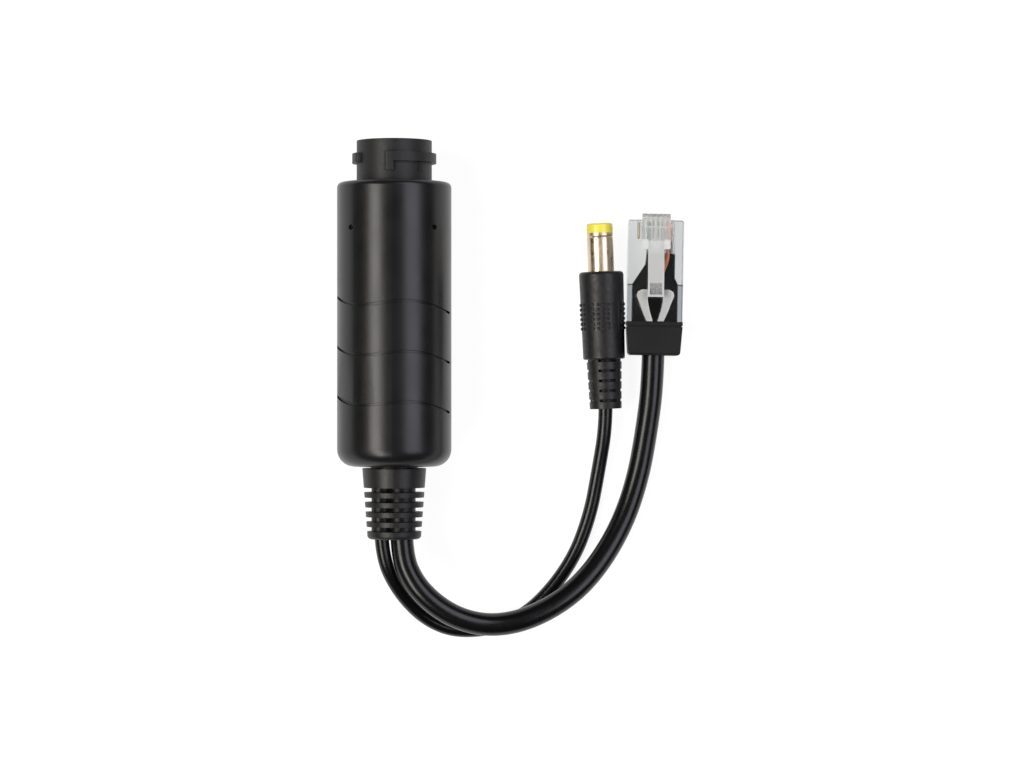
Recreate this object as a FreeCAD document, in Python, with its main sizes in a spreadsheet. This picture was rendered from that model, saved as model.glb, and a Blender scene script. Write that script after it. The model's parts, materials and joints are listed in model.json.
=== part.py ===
"""Inline network power splitter: a round potted housing with a bayonet network jack at one end
and a ribbed strain relief at the other, from which a barrel plug lead and a network plug lead come.

The unit lies along Y on the floor, Z = 0, with the origin under the middle of its length.
Round pieces of the unit are drawn upright about their own Z axis and then laid down, so that
their X axis points up, their Y axis to the right and their Z axis towards the jack.
All sizes are in millimetres.
"""

import FreeCAD, Part
import math
import os
from types import SimpleNamespace

import Sketcher
from FreeCAD import Placement, Rotation, Vector

DRIVING_SIZES = {
    # Housing
    "housing_diameter": 23.8,
    "housing_length": 59.05,
    "housing_wall": 1.9,
    "housing_end_wall": 2.4,
    "housing_front_round": 1.1,
    "housing_rear_round": 3.6,
    "locating_hole_diameter": 1.1,
    "locating_hole_depth": 1.1,
    "locating_hole_setback": 9.7,
    "locating_hole_turn": 45.5,
    # Wavy grooves round the housing
    "groove_width": 0.5,
    "groove_depth": 0.4,
    "groove_pitch": 10.3,
    "groove_setback": 25.4,
    "groove_wave": 0.75,
    "groove_fall": 0.0142,
    # Bayonet collar with the jack's socket
    "collar_diameter": 15.65,
    "collar_projection": 8.65,
    "collar_root": 7.5,
    "collar_flange_diameter": 17.8,
    "collar_flange_thickness": 1.4,
    "bayonet_height": 0.93,
    "bayonet_width": 2.0,
    "bayonet_setback": 2.7,
    "bayonet_start": -12.0,
    "bayonet_sweep": 133.0,
    "bayonet_leg_sweep": 14.5,
    "bayonet_leg_length": 1.9,
    "bayonet_end_round": 0.6,
    "detent_start": 44.0,
    "detent_sweep": 6.0,
    "detent_height": 0.25,
    "socket_width": 11.8,
    "socket_height": 6.7,
    "socket_depth": 13.0,
    "keyway_width": 6.1,
    "keyway_depth": 1.5,
    "keyway_slot_width": 3.2,
    "keyway_slot_depth": 1.2,
    "comb_width": 8.4,
    "comb_height": 1.2,
    "mouth_lip": 1.8,
    # Jack contacts
    "contact_pitch": 1.02,
    "contact_width": 0.4,
    "contact_thickness": 0.3,
    "contact_tail": 3.2,
    "contact_reach": 10.0,
    "contact_drop": 2.3,
    # Circuit board and what it carries
    "board_thickness": 1.0,
    "board_edge_gap": 1.8,
    "board_length": 44.0,
    "solder_gap": 0.05,
    "data_transformer_setback": 9.6,
    "core_setback": 22.8,
    "filter_setback": 34.0,
    "core_edge_gap": 1.7,
    "core_length": 12.0,
    "core_thickness": 4.2,
    "winding_build": 1.4,
    "capacitor_rim": 0.3,
    "capacitor_gap": 0.6,
    # Strain relief and the leads
    "boot_length": 15.1,
    "boot_front_diameter": 13.3,
    "boot_rear_diameter": 11.1,
    "boot_neck_diameter": 9.8,
    "boot_neck_gap": 0.4,
    "boot_flange_diameter": 12.4,
    "boot_flange_thickness": 1.5,
    "boot_rear_round": 0.8,
    "boot_plain_length": 4.4,
    "boot_slot_width": 0.96,
    "boot_slot_pitch": 2.03,
    "boot_sleeve": 0.5,
    "cable_seat": 3.2,
    "network_cable_diameter": 4.8,
    "network_cable_offset": 1.5,
    "power_cable_diameter": 3.0,
    "power_cable_offset": -2.7,
    "lead_diameter": 0.9,
    "lead_pitch": 1.0,
    "lead_overlap": 3.0,
    # Barrel plug
    "barrel_diameter": 5.5,
    "barrel_wall": 0.45,
    "barrel_exposed": 8.15,
    "barrel_root": 6.0,
    "barrel_root_diameter": 5.1,
    "tip_length": 2.0,
    "tip_bore": 2.7,
    "pin_bore": 2.1,
    "pin_wall": 0.25,
    "pin_setback": 0.6,
    "grip_length": 18.45,
    "grip_front_diameter": 9.4,
    "grip_rear_diameter": 8.8,
    "grip_front_round": 0.7,
    "grip_rear_round": 0.4,
    "relief_length": 10.4,
    "relief_front_diameter": 7.4,
    "relief_rear_diameter": 6.7,
    "relief_core_diameter": 4.4,
    "relief_ring": 1.55,
    "relief_pitch": 2.1,
    "relief_web": 25.0,
    # Network plug
    "plug_width": 11.68,
    "plug_length": 21.4,
    "plug_height": 6.6,
    "plug_wall": 1.05,
    "plug_floor": 1.0,
    "plug_shoulder": 7.8,
    "latch_width": 5.9,
    "latch_lever_width": 3.35,
    "latch_thickness": 1.1,
    "latch_nose": 1.3,
    "latch_recess": 0.35,
    "guard_height": 2.3,
    "plug_boot_length": 7.05,
    "plug_boot_width": 11.7,
    "plug_boot_rear_width": 10.8,
    "plug_boot_height": 8.0,
    "plug_boot_groove": 0.2,
    "blade_thickness": 0.3,
    "blade_length": 3.3,
    "conductor_diameter": 0.95,
    "conductor_height": 4.2,
    "tunnel_gap": 0.02,
    "seat_gap": 0.05,
}

# Places of the two plugs on the floor, and how far each leans from the Y axis, in degrees
BARREL_PLUG_FRONT = (43.27, 14.5)
BARREL_PLUG_LEAN = 2.0
NETWORK_PLUG_REAR = (54.44, 3.93)
NETWORK_PLUG_LEAN = -1.1

# Routes of the two leads, from inside the strain relief to inside the plug
NETWORK_CABLE_ROUTE = [
    (1.5, -38.2, 11.9),
    (1.5, -44.5, 11.9),
    (3.8, -50.3, 12.3),
    (8.2, -55.05, 11.6),
    (13.8, -58.4, 10.6),
    (20.65, -59.75, 9.4),
    (28.3, -58.25, 8.6),
    (36.4, -53.8, 7.1),
    (42.4, -47.7, 5.3),
    (47.75, -38.85, 3.5),
    (51.1, -29.15, 2.6),
    (52.9, -19.2, 2.8),
    (54.19, -9.12, 3.6),
    (54.37, 0.38, 3.6),
]
POWER_CABLE_ROUTE = [
    (-2.7, -38.2, 11.9),
    (-2.7, -44.8, 11.9),
    (0.65, -52.5, 8.5),
    (6.4, -58.9, 4.4),
    (13.25, -61.65, 2.0),
    (22.7, -60.45, 1.6),
    (30.1, -55.95, 1.55),
    (37.35, -46.7, 1.55),
    (41.05, -36.9, 1.6),
    (42.75, -27.6, 2.3),
    (44.38, -17.4, 4.18),
    (44.17, -11.33, 4.28),
]
ARC_SHARE = 0.45

NETWORK_CONTACTS = 8
BOOT_SLOTS = 5
RELIEF_RINGS = 5
RELIEF_WEBS = 4
LOCATING_HOLE_ROLL = math.radians(-1.9)
GROOVES = 3
GROOVE_LOBES = 3
GROOVE_PHASE = 27.0
GROOVE_FIRST_ANGLE = -80
GROOVE_LAST_ANGLE = 76
GROOVE_STEP = 12

LAID_DOWN = Rotation(Vector(1, 1, 1), -120)

doc = FreeCAD.newDocument("Splitter")
finished = []


class Size:
    """A number from the sheet, or worked out from it, with the formula that binds a property to it."""

    def __init__(self, value, text):
        self.value = value
        self.text = text

    def _joined(self, left, sign, right, value):
        return Size(value, f"({text_of(left)} {sign} {text_of(right)})")

    def __add__(self, other):
        return self._joined(self, "+", other, self.value + value_of(other))

    def __radd__(self, other):
        return self._joined(other, "+", self, value_of(other) + self.value)

    def __sub__(self, other):
        return self._joined(self, "-", other, self.value - value_of(other))

    def __rsub__(self, other):
        return self._joined(other, "-", self, value_of(other) - self.value)

    def __mul__(self, other):
        return self._joined(self, "*", other, self.value * value_of(other))

    def __rmul__(self, other):
        return self._joined(other, "*", self, value_of(other) * self.value)

    def __truediv__(self, other):
        return self._joined(self, "/", other, self.value / value_of(other))

    def __neg__(self):
        return 0 - self


def value_of(size):
    return size.value if isinstance(size, Size) else float(size)


def text_of(size):
    return size.text if isinstance(size, Size) else f"{float(size):.6f}"


def make_sheet():
    """Writes the driving sizes to a spreadsheet and returns them by name."""
    sheet = doc.addObject("Spreadsheet::Sheet", "Sizes")
    for row, (name, number) in enumerate(DRIVING_SIZES.items(), start=1):
        sheet.set(f"A{row}", name)
        sheet.set(f"B{row}", str(number))
        sheet.setAlias(f"B{row}", name)
    doc.recompute()
    return SimpleNamespace(**{name: Size(sheet.get(name), f"Sizes.{name}") for name in DRIVING_SIZES})


# Drawing helpers


def bind(thing, prop, size):
    thing.setExpression(prop, text_of(size))


def put(thing, across=0.0, along=0.0, up=0.0, turned=None):
    """Places an object in the frame and binds its place to the sheet."""
    turned = turned or Rotation()
    thing.Placement = Placement(Vector(value_of(across), value_of(along), value_of(up)), turned)
    for axis, size in (("x", across), ("y", along), ("z", up)):
        if isinstance(size, Size):
            bind(thing, f".Placement.Base.{axis}", size)
    return thing


def new_body(name):
    return doc.addObject("PartDesign::Body", name)


def new_sketch(body, name, role="XY_Plane", offset=0.0):
    """A sketch on one of the body's own origin planes, moved along the plane's normal."""
    plane = next(feature for feature in body.Origin.OriginFeatures if feature.Role == role)
    sketch = body.newObject("Sketcher::SketchObject", name)
    sketch.AttachmentSupport = [(plane, "")]
    sketch.MapMode = "FlatFace"
    sketch.AttachmentOffset = Placement(Vector(0, 0, value_of(offset)), Rotation())
    if isinstance(offset, Size):
        bind(sketch, ".AttachmentOffset.Base.z", offset)
    return sketch


def constrain(sketch, kind, *where, size):
    number = sketch.addConstraint(Sketcher.Constraint(kind, *where, value_of(size)))
    if isinstance(size, Size):
        bind(sketch, f"Constraints[{number}]", size)


def pin_point(sketch, element, point, across, up):
    constrain(sketch, "DistanceX", -1, 1, element, point, size=across)
    constrain(sketch, "DistanceY", -1, 1, element, point, size=up)


def draw_outline(sketch, corners):
    """A closed outline of straight lines through (across, up) corners."""
    points = [Vector(value_of(across), value_of(up), 0) for across, up in corners]
    first = sketch.GeometryCount
    count = len(points)
    for index in range(count):
        sketch.addGeometry(Part.LineSegment(points[index], points[(index + 1) % count]), False)
    for index in range(count):
        following = first + (index + 1) % count
        sketch.addConstraint(Sketcher.Constraint("Coincident", first + index, 2, following, 1))
    for index, (across, up) in enumerate(corners):
        pin_point(sketch, first + index, 1, across, up)
    return sketch


def draw_rectangle(sketch, left, bottom, right, top):
    return draw_outline(sketch, [(left, bottom), (right, bottom), (right, top), (left, top)])


def draw_circle(sketch, radius, across=0.0, up=0.0):
    centre = Vector(value_of(across), value_of(up), 0)
    circle = sketch.addGeometry(Part.Circle(centre, Vector(0, 0, 1), value_of(radius)), False)
    pin_point(sketch, circle, 3, across, up)
    constrain(sketch, "Radius", circle, size=radius)
    return sketch


def draw_ring_sector(sketch, inner, outer, start, sweep):
    """A piece of a ring about the origin, from the start angle through the sweep, in degrees."""
    first_angle = math.radians(value_of(start))
    last_angle = math.radians(value_of(start) + value_of(sweep))
    arcs = []
    for radius in (inner, outer):
        circle = Part.Circle(Vector(0, 0, 0), Vector(0, 0, 1), value_of(radius))
        arc = sketch.addGeometry(Part.ArcOfCircle(circle, first_angle, last_angle), False)
        sketch.addConstraint(Sketcher.Constraint("Coincident", arc, 3, -1, 1))
        constrain(sketch, "Radius", arc, size=radius)
        arcs.append(arc)
    for end, angle in ((1, first_angle), (2, last_angle)):
        direction = Vector(math.cos(angle), math.sin(angle), 0)
        line = Part.LineSegment(direction * value_of(inner), direction * value_of(outer))
        side = sketch.addGeometry(line, False)
        sketch.addConstraint(Sketcher.Constraint("Coincident", side, 1, arcs[0], end))
        sketch.addConstraint(Sketcher.Constraint("Coincident", side, 2, arcs[1], end))
        sketch.addConstraint(Sketcher.Constraint("PointOnObject", -1, 1, side))
        sketch.addConstraint(Sketcher.Constraint("Angle", side, angle))
    return sketch


def pad(body, sketch, length, midplane=False):
    feature = body.newObject("PartDesign::Pad", sketch.Name + "Pad")
    feature.Profile = sketch
    feature.Length = value_of(length)
    bind(feature, "Length", length)
    if midplane:
        feature.Midplane = True
    return feature


def pocket(body, sketch, length=None, outward=True):
    """A pocket along the sketch's normal where outward is set, or right through both ways."""
    feature = body.newObject("PartDesign::Pocket", sketch.Name + "Pocket")
    feature.Profile = sketch
    if length is None:
        feature.Type = "ThroughAll"
        feature.Midplane = True
        return feature
    feature.Length = value_of(length)
    bind(feature, "Length", length)
    feature.Reversed = outward
    return feature


def revolve(body, corners, name):
    """Turns a half profile of (radius, height) corners about the body's Z axis."""
    sketch = draw_outline(new_sketch(body, name, "XZ_Plane"), corners)
    feature = body.newObject("PartDesign::Revolution", name + "Turned")
    feature.Profile = sketch
    feature.ReferenceAxis = (sketch, ["V_Axis"])
    feature.Angle = 360
    return feature


def pattern_round(body, features, sketch, count):
    """Repeats features about the body's Z axis; the pattern becomes the body's tip."""
    pattern = body.newObject("PartDesign::PolarPattern", features[0].Name + "Round")
    pattern.Originals = features
    pattern.Axis = (sketch, ["N_Axis"])
    pattern.Angle = 360
    pattern.Occurrences = count
    body.Tip = pattern
    return pattern


def pattern_line(body, feature, sketch, axis, pitch, count, backwards=False):
    """Repeats a feature along one of its sketch's axes; the pattern becomes the body's tip."""
    pattern = body.newObject("PartDesign::LinearPattern", feature.Name + "Row")
    pattern.Originals = [feature]
    pattern.Direction = (sketch, [axis])
    pattern.Length = value_of(pitch) * (count - 1)
    bind(pattern, "Length", pitch * (count - 1))
    pattern.Occurrences = count
    pattern.Reversed = backwards
    body.Tip = pattern
    return pattern


def edges_where(feature, test):
    """Names of the edges of a feature's shape that pass a test."""
    doc.recompute()
    return [f"Edge{number}" for number, edge in enumerate(feature.Shape.Edges, start=1) if test(edge)]


def round_edges(body, feature, radius, test):
    fillet = body.newObject("PartDesign::Fillet", feature.Name + "Rounded")
    fillet.Base = (feature, edges_where(feature, test))
    fillet.Radius = value_of(radius)
    bind(fillet, "Radius", radius)
    return fillet


def is_circle_at(radius, height):
    """Test for a full circle of that radius about Z at that height."""

    def test(edge):
        if not isinstance(edge.Curve, Part.Circle):
            return False
        at_height = abs(edge.CenterOfMass.z - value_of(height)) < 0.01
        return at_height and abs(edge.Curve.Radius - value_of(radius)) < 0.01

    return test


def is_upright_at(radius):
    """Test for a straight edge along Z at that distance from the axis."""

    def test(edge):
        if not isinstance(edge.Curve, Part.Line) or abs(edge.tangentAt(edge.FirstParameter).z) < 0.99:
            return False
        middle = edge.CenterOfMass
        return abs(math.hypot(middle.x, middle.y) - value_of(radius)) < 0.05

    return test


def box(name, low, size):
    """A box in the frame from its low corner, both given as (across, along, up)."""
    solid = doc.addObject("Part::Box", name)
    for prop, length in zip(("Length", "Width", "Height"), size):
        bind(solid, prop, length)
    return put(solid, *low)


def rod(name, radius, low, high, across=0.0, up=None):
    """A cylinder along the unit's length between two stations."""
    solid = doc.addObject("Part::Cylinder", name)
    bind(solid, "Radius", radius)
    bind(solid, "Height", high - low)
    return put(solid, across, low, s.housing_diameter / 2 if up is None else up, LAID_DOWN)


def cut(name, base, tool):
    result = doc.addObject("Part::Cut", name)
    result.Base = base
    result.Tool = tool
    return result


def fuse(name, solids):
    result = doc.addObject("Part::MultiFuse", name)
    result.Shapes = solids
    return result


def finish(name, thing):
    """Gives a finished sub-part its label, which names its file."""
    thing.Label = name
    finished.append(thing)
    return thing


s = make_sheet()

# Stations along the unit, from the middle of its length
axis_height = s.housing_diameter / 2
collar_end = (s.collar_projection + s.housing_length + s.boot_length) / 2
housing_front = collar_end - s.collar_projection
housing_rear = housing_front - s.housing_length
root_end = housing_front - s.collar_root
socket_floor = collar_end - s.socket_depth
potting_rear = housing_rear + s.housing_end_wall
boot_front = potting_rear + s.boot_flange_thickness
boot_end = -collar_end
board_rear = root_end - s.board_length
board_top = s.board_thickness / 2
potting_radius = s.housing_diameter / 2 - s.housing_wall
collar_radius = s.collar_diameter / 2

# The board and the large components take their sizes from the bore of the housing
board_width = (potting_radius - s.board_edge_gap) * 2
core_width = board_width - s.core_edge_gap * 2
core_leg = core_width * 0.31
core_window = core_width * 0.2
capacitor_diameter = potting_radius * 0.63
capacitor_height = potting_radius * 0.55
inductor_width = potting_radius * 0.7
inductor_height = potting_radius * 0.38


# Housing


def groove_height(degrees):
    """How far a groove stands from its own level at an angle from the top towards the right."""
    wave = value_of(s.groove_wave) * math.sin(math.radians(GROOVE_LOBES * degrees + GROOVE_PHASE))
    return wave - value_of(s.groove_fall) * degrees


def groove_edge(level):
    """One edge of a groove as a smooth curve in plan."""
    reach = value_of(s.housing_diameter) / 2
    angles = range(GROOVE_FIRST_ANGLE, GROOVE_LAST_ANGLE + 1, GROOVE_STEP)
    points = [Vector(reach * math.sin(math.radians(a)), level + groove_height(a), 0) for a in angles]
    curve = Part.BSplineCurve()
    curve.interpolate(points)
    return curve, points


def groove_plan(name):
    """Plan of the three grooves, each a band between two smooth edges."""
    sketch = doc.addObject("Sketcher::SketchObject", name)
    for number in range(GROOVES):
        level = value_of(housing_front - s.groove_setback - s.groove_pitch * number)
        lower, lower_points = groove_edge(level - value_of(s.groove_width) / 2)
        upper, upper_points = groove_edge(level + value_of(s.groove_width) / 2)
        sketch.addGeometry(lower, False)
        sketch.addGeometry(upper, False)
        sketch.addGeometry(Part.LineSegment(lower_points[0], upper_points[0]), False)
        sketch.addGeometry(Part.LineSegment(lower_points[-1], upper_points[-1]), False)
    return sketch


def make_groove_cutter():
    """The grooves of the upper and the lower mould half, down to the groove's depth."""
    halves = []
    for name, turn in (("UpperGrooves", 0), ("LowerGrooves", 180)):
        plan = put(groove_plan(name), up=axis_height, turned=Rotation(Vector(0, 1, 0), turn))
        half = doc.addObject("Part::Extrusion", name + "Raised")
        half.Base = plan
        half.DirMode = "Normal"
        half.Solid = True
        bind(half, "LengthFwd", s.housing_diameter)
        halves.append(half)
    inside = rod("GrooveFloor", s.housing_diameter / 2 - s.groove_depth, housing_rear, housing_front)
    return cut("GrooveCutter", fuse("GrooveBands", halves), inside)


def make_locating_holes():
    """Four blind upright holes where pins of the two mould halves held the insert."""
    holes = []
    reach = value_of(s.housing_diameter) / 2
    along = value_of(housing_front - s.locating_hole_setback)
    for number in range(4):
        side = -1 if number % 2 else 1
        upward = 1 if number < 2 else -1
        angle = math.radians(side * value_of(s.locating_hole_turn) + LOCATING_HOLE_ROLL)
        floor = upward * (reach * math.cos(angle) - value_of(s.locating_hole_depth))
        hole = doc.addObject("Part::Cylinder", f"LocatingHole{number + 1}")
        bind(hole, "Radius", s.locating_hole_diameter / 2)
        bind(hole, "Height", s.locating_hole_depth * 2)
        place = Vector(reach * math.sin(angle), along, value_of(axis_height) + floor)
        hole.Placement = Placement(place, Rotation(Vector(0, 0, 1), Vector(0, 0, upward)))
        holes.append(hole)
    return holes


def make_housing_shell():
    body = put(new_body("HousingBlank"), up=axis_height, turned=LAID_DOWN)
    outer = s.housing_diameter / 2
    collar_bore = collar_radius + s.seat_gap
    flange_bore = s.collar_flange_diameter / 2 + s.seat_gap
    neck_bore = s.boot_neck_diameter / 2 + s.seat_gap
    flange_front = root_end + s.collar_flange_thickness
    corners = [
        (outer, housing_rear),
        (outer, housing_front),
        (collar_bore, housing_front),
        (collar_bore, flange_front),
        (flange_bore, flange_front),
        (flange_bore, root_end),
        (potting_radius, root_end),
        (potting_radius, potting_rear),
        (neck_bore, potting_rear),
        (neck_bore, housing_rear),
    ]
    turned = revolve(body, corners, "HousingProfile")
    front = round_edges(body, turned, s.housing_front_round, is_circle_at(outer, housing_front))
    round_edges(body, front, s.housing_rear_round, is_circle_at(outer, housing_rear))
    cutters = fuse("HousingCutters", [make_groove_cutter()] + make_locating_holes())
    finish("housing_shell", cut("HousingShell", body, cutters))


# Collar, jack and contacts


def socket_outline(gap=0.0):
    """The jack's opening with its latch keyway, shrunk by a gap at the sides and below."""
    half_height = s.socket_height / 2
    steps = [
        (half_height, s.socket_width / 2 - gap),
        (gap - half_height, s.socket_width / 2 - gap),
        (gap - half_height, s.keyway_width / 2 - gap),
        (gap - half_height - s.keyway_depth, s.keyway_width / 2 - gap),
        (gap - half_height - s.keyway_depth, s.keyway_slot_width / 2 - gap),
        (gap - half_height - s.keyway_depth - s.keyway_slot_depth, s.keyway_slot_width / 2 - gap),
    ]
    return steps + [(up, -across) for up, across in reversed(steps)]


def make_bayonet_collar():
    body = put(new_body("BayonetCollar"), up=axis_height, turned=LAID_DOWN)
    flange_radius = s.collar_flange_diameter / 2
    flange_front = root_end + s.collar_flange_thickness
    corners = [
        (0, root_end),
        (flange_radius, root_end),
        (flange_radius, flange_front),
        (collar_radius, flange_front),
        (collar_radius, collar_end),
        (0, collar_end),
    ]
    revolve(body, corners, "CollarProfile")
    rib_top = collar_end - s.bayonet_setback
    rib_bottom = rib_top - s.bayonet_width
    inner = collar_radius - 0.5
    outer = collar_radius + s.bayonet_height
    rib_plan = new_sketch(body, "RibPlan", offset=rib_bottom)
    draw_ring_sector(rib_plan, inner, outer, s.bayonet_start, s.bayonet_sweep)
    rib = pad(body, rib_plan, s.bayonet_width)
    leg_plan = new_sketch(body, "LegPlan", offset=rib_bottom - s.bayonet_leg_length)
    draw_ring_sector(leg_plan, inner, outer, s.bayonet_start, s.bayonet_leg_sweep)
    leg = pad(body, leg_plan, s.bayonet_leg_length)
    detent_plan = new_sketch(body, "DetentPlan", offset=rib_bottom - s.bayonet_leg_length)
    draw_ring_sector(detent_plan, inner, collar_radius + s.detent_height, s.detent_start, s.detent_sweep)
    detent = pad(body, detent_plan, s.bayonet_leg_length)
    pattern = pattern_round(body, [rib, leg, detent], rib_plan, 2)
    round_edges(body, pattern, s.bayonet_end_round, is_upright_at(outer))
    socket = draw_outline(new_sketch(body, "SocketPlan"), socket_outline())
    pocket(body, socket)
    comb = new_sketch(body, "CombPlan", offset=root_end)
    half_comb = s.comb_width / 2
    draw_rectangle(comb, 0, -half_comb, s.socket_height / 2 + s.comb_height, half_comb)
    pocket(body, comb, collar_end - s.mouth_lip - root_end)
    finish("bayonet_collar", body)


def make_contact_carrier():
    """The comb that holds the contacts: a block that closes the socket, with a slotted tongue."""
    body = put(new_body("ContactCarrier"), up=axis_height, turned=LAID_DOWN)
    block = draw_outline(new_sketch(body, "BlockPlan", offset=root_end), socket_outline(s.seat_gap))
    pad(body, block, socket_floor - root_end)
    tongue = new_sketch(body, "TonguePlan", offset=root_end)
    half_tongue = s.comb_width / 2 - s.seat_gap
    tongue_top = s.socket_height / 2 + s.comb_height - s.seat_gap
    draw_rectangle(tongue, s.socket_height / 2, -half_tongue, tongue_top, half_tongue)
    pad(body, tongue, collar_end - s.mouth_lip - s.seat_gap - root_end)
    slot = new_sketch(body, "SlotPlan", offset=root_end)
    first = s.contact_pitch * (1 - NETWORK_CONTACTS) / 2
    half_slot = s.contact_width / 2 + s.seat_gap
    draw_rectangle(slot, board_top, first - half_slot, contact_ceiling, first + half_slot)
    slot_cut = pocket(body, slot, contact_front - root_end)
    pattern_line(body, slot_cut, slot, "V_Axis", s.contact_pitch, NETWORK_CONTACTS)
    finish("contact_carrier", body)


contact_ceiling = s.socket_height / 2 + s.comb_height - s.contact_thickness
contact_front = root_end + s.contact_tail + s.contact_reach


def make_jack_contact(number):
    """A spring strip: tail on the board, riser, run along the comb, fold and slanting spring."""
    name = f"JackContact{number}"
    sideways = s.contact_pitch * (number - (NETWORK_CONTACTS + 1) / 2)
    body = put(new_body(name), across=sideways, up=axis_height, turned=LAID_DOWN)
    thick = s.contact_thickness
    riser = root_end + s.contact_tail / 3
    tail = root_end - s.contact_tail
    ceiling = contact_ceiling
    spring_end = socket_floor + 2.2
    corners = [
        (board_top, tail),
        (board_top, riser + thick),
        (ceiling - thick, riser + thick),
        (ceiling - thick, contact_front - thick),
        (ceiling - thick * 2, contact_front - thick),
        (ceiling - thick * 2 - s.contact_drop, spring_end),
        (ceiling - thick * 3 - s.contact_drop, spring_end),
        (ceiling - thick * 3, contact_front),
        (ceiling, contact_front),
        (ceiling, riser),
        (board_top + thick, riser),
        (board_top + thick, tail),
    ]
    strip = draw_outline(new_sketch(body, name + "Side", "XZ_Plane"), corners)
    pad(body, strip, s.contact_width, midplane=True)
    finish(f"jack_contact_{number}", body)


# Circuit board and components


def on_board(thing, across, along, below=False):
    """Stands a component on the board's upper side, or hangs it from the lower side."""
    turned = Rotation(Vector(0, 1, 0), 180) if below else Rotation()
    up = axis_height - board_top if below else axis_height + board_top
    return put(thing, across, along, up, turned)


def make_package(name, label, across, along, size, legs, pitch, below=False):
    """A chip or other moulded part: flat legs crossing under a body of (across, along, up) size."""
    width, length, height = size
    body = on_board(new_body(name), across, along, below)
    leg_plan = new_sketch(body, name + "Leg")
    first = pitch * (1 - legs) / 2
    reach = width / 2 + 1.0
    draw_rectangle(leg_plan, -reach, first - 0.2, reach, first + 0.2)
    leg = pad(body, leg_plan, 0.25)
    if legs > 1:
        pattern_line(body, leg, leg_plan, "V_Axis", Size(pitch, f"{pitch}"), legs)
    case_plan = new_sketch(body, name + "Case", offset=0.15)
    draw_rectangle(case_plan, -width / 2, -length / 2, width / 2, length / 2)
    pad(body, case_plan, height)
    finish(label, body)


def make_board():
    low = (-board_width / 2, board_rear, axis_height - board_top)
    board = box("CircuitBoard", low, (board_width, s.board_length, s.board_thickness))
    finish("circuit_board", board)


def make_transformer(along):
    """A ferrite core with two windows, and the winding round its middle leg."""
    window_length = s.core_length - core_leg
    reach = core_leg / 2 + core_window
    floor = axis_height + board_top + s.winding_build
    core_low = (-core_width / 2, along - s.core_length / 2, floor)
    core = box("CoreBlock", core_low, (core_width, s.core_length, s.core_thickness))
    windows = []
    for name, left in (("LeftWindow", -reach), ("RightWindow", core_leg / 2)):
        low = (left, along - window_length / 2, floor - 1)
        windows.append(box(name, low, (core_window, window_length, s.core_thickness + 2)))
    finish("transformer_core", cut("TransformerCore", core, fuse("CoreWindows", windows)))
    low = (-reach, along - window_length / 2, axis_height + board_top)
    coil = box("Coil", low, (reach * 2, window_length, s.core_thickness + s.winding_build * 2))
    leg_low = (-core_leg / 2, along - window_length / 2, floor)
    middle = box("CoilMiddle", leg_low, (core_leg, window_length, s.core_thickness))
    finish("transformer_winding", cut("TransformerWinding", coil, middle))


def make_capacitor(name, label, side, along):
    """A surface-mount can on its square base, to the left or the right of the middle."""
    base_height = 0.9
    base_width = capacitor_diameter + s.capacitor_rim
    across = (base_width + s.capacitor_gap) / 2 * side
    floor = axis_height + board_top
    low = (across - base_width / 2, along - base_width / 2, floor)
    base = box(name + "Base", low, (base_width, base_width, base_height))
    can = doc.addObject("Part::Cylinder", name + "Can")
    bind(can, "Radius", capacitor_diameter / 2)
    bind(can, "Height", capacitor_height - base_height)
    put(can, across, along, floor + base_height)
    finish(label, fuse(name, [base, can]))


def make_inductor(along):
    body = on_board(new_body("PowerInductor"), 0.0, along, below=True)
    half = inductor_width / 2
    plan = draw_rectangle(new_sketch(body, "InductorPlan"), -half, -half, half, half)
    block = pad(body, plan, inductor_height)
    corner = half * math.sqrt(2)
    round_edges(body, block, 0.9, is_upright_at(corner))
    finish("power_inductor", body)


def make_components():
    data_along = root_end - s.data_transformer_setback
    make_package("DataTransformer", "data_transformer", 0, data_along, (9.4, 10.4, 3.4), 8, 1.2)
    make_transformer(root_end - s.core_setback)
    make_capacitor("InputCapacitor", "input_capacitor", -1, root_end - s.filter_setback)
    make_capacitor("OutputCapacitor", "output_capacitor", 1, root_end - s.filter_setback)
    below = [
        ("BridgeRectifierA", "bridge_rectifier_a", -3.4, 6.4, (3.8, 4.6, 2.3), 2, 2.6),
        ("BridgeRectifierB", "bridge_rectifier_b", 3.4, 6.4, (3.8, 4.6, 2.3), 2, 2.6),
        ("ControllerChip", "controller_chip", 0, 14.2, (4.0, 5.0, 1.5), 4, 1.27),
        ("Optocoupler", "optocoupler", 0, 21.4, (4.4, 4.6, 2.2), 2, 2.54),
        ("OutputDiode", "output_diode", 0, 27.2, (4.0, 3.6, 2.1), 1, 1.0),
    ]
    for name, label, across, setback, size, legs, pitch in below:
        make_package(name, label, across, root_end - setback, size, legs, pitch, below=True)
    make_inductor(root_end - s.filter_setback)


# Strain relief, leads and potting


def make_leads(name, label, offset, columns):
    """Insulated wires above and below the board's edge, from the end of a cable's jacket."""
    wires = []
    height = board_top + s.lead_diameter / 2 + s.solder_gap
    low = boot_end + s.cable_seat
    high = board_rear + s.lead_overlap
    for column in range(columns):
        across = offset + s.lead_pitch * (column - (columns - 1) / 2)
        for row, up in (("Upper", axis_height + height), ("Lower", axis_height - height)):
            wires.append(rod(f"{name}{row}{column + 1}", s.lead_diameter / 2, low, high, across, up))
    finish(label, fuse(name, wires) if len(wires) > 1 else wires[0])


def lobe_radius(cable_diameter):
    return cable_diameter / 2 + s.seat_gap + s.boot_sleeve


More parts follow.
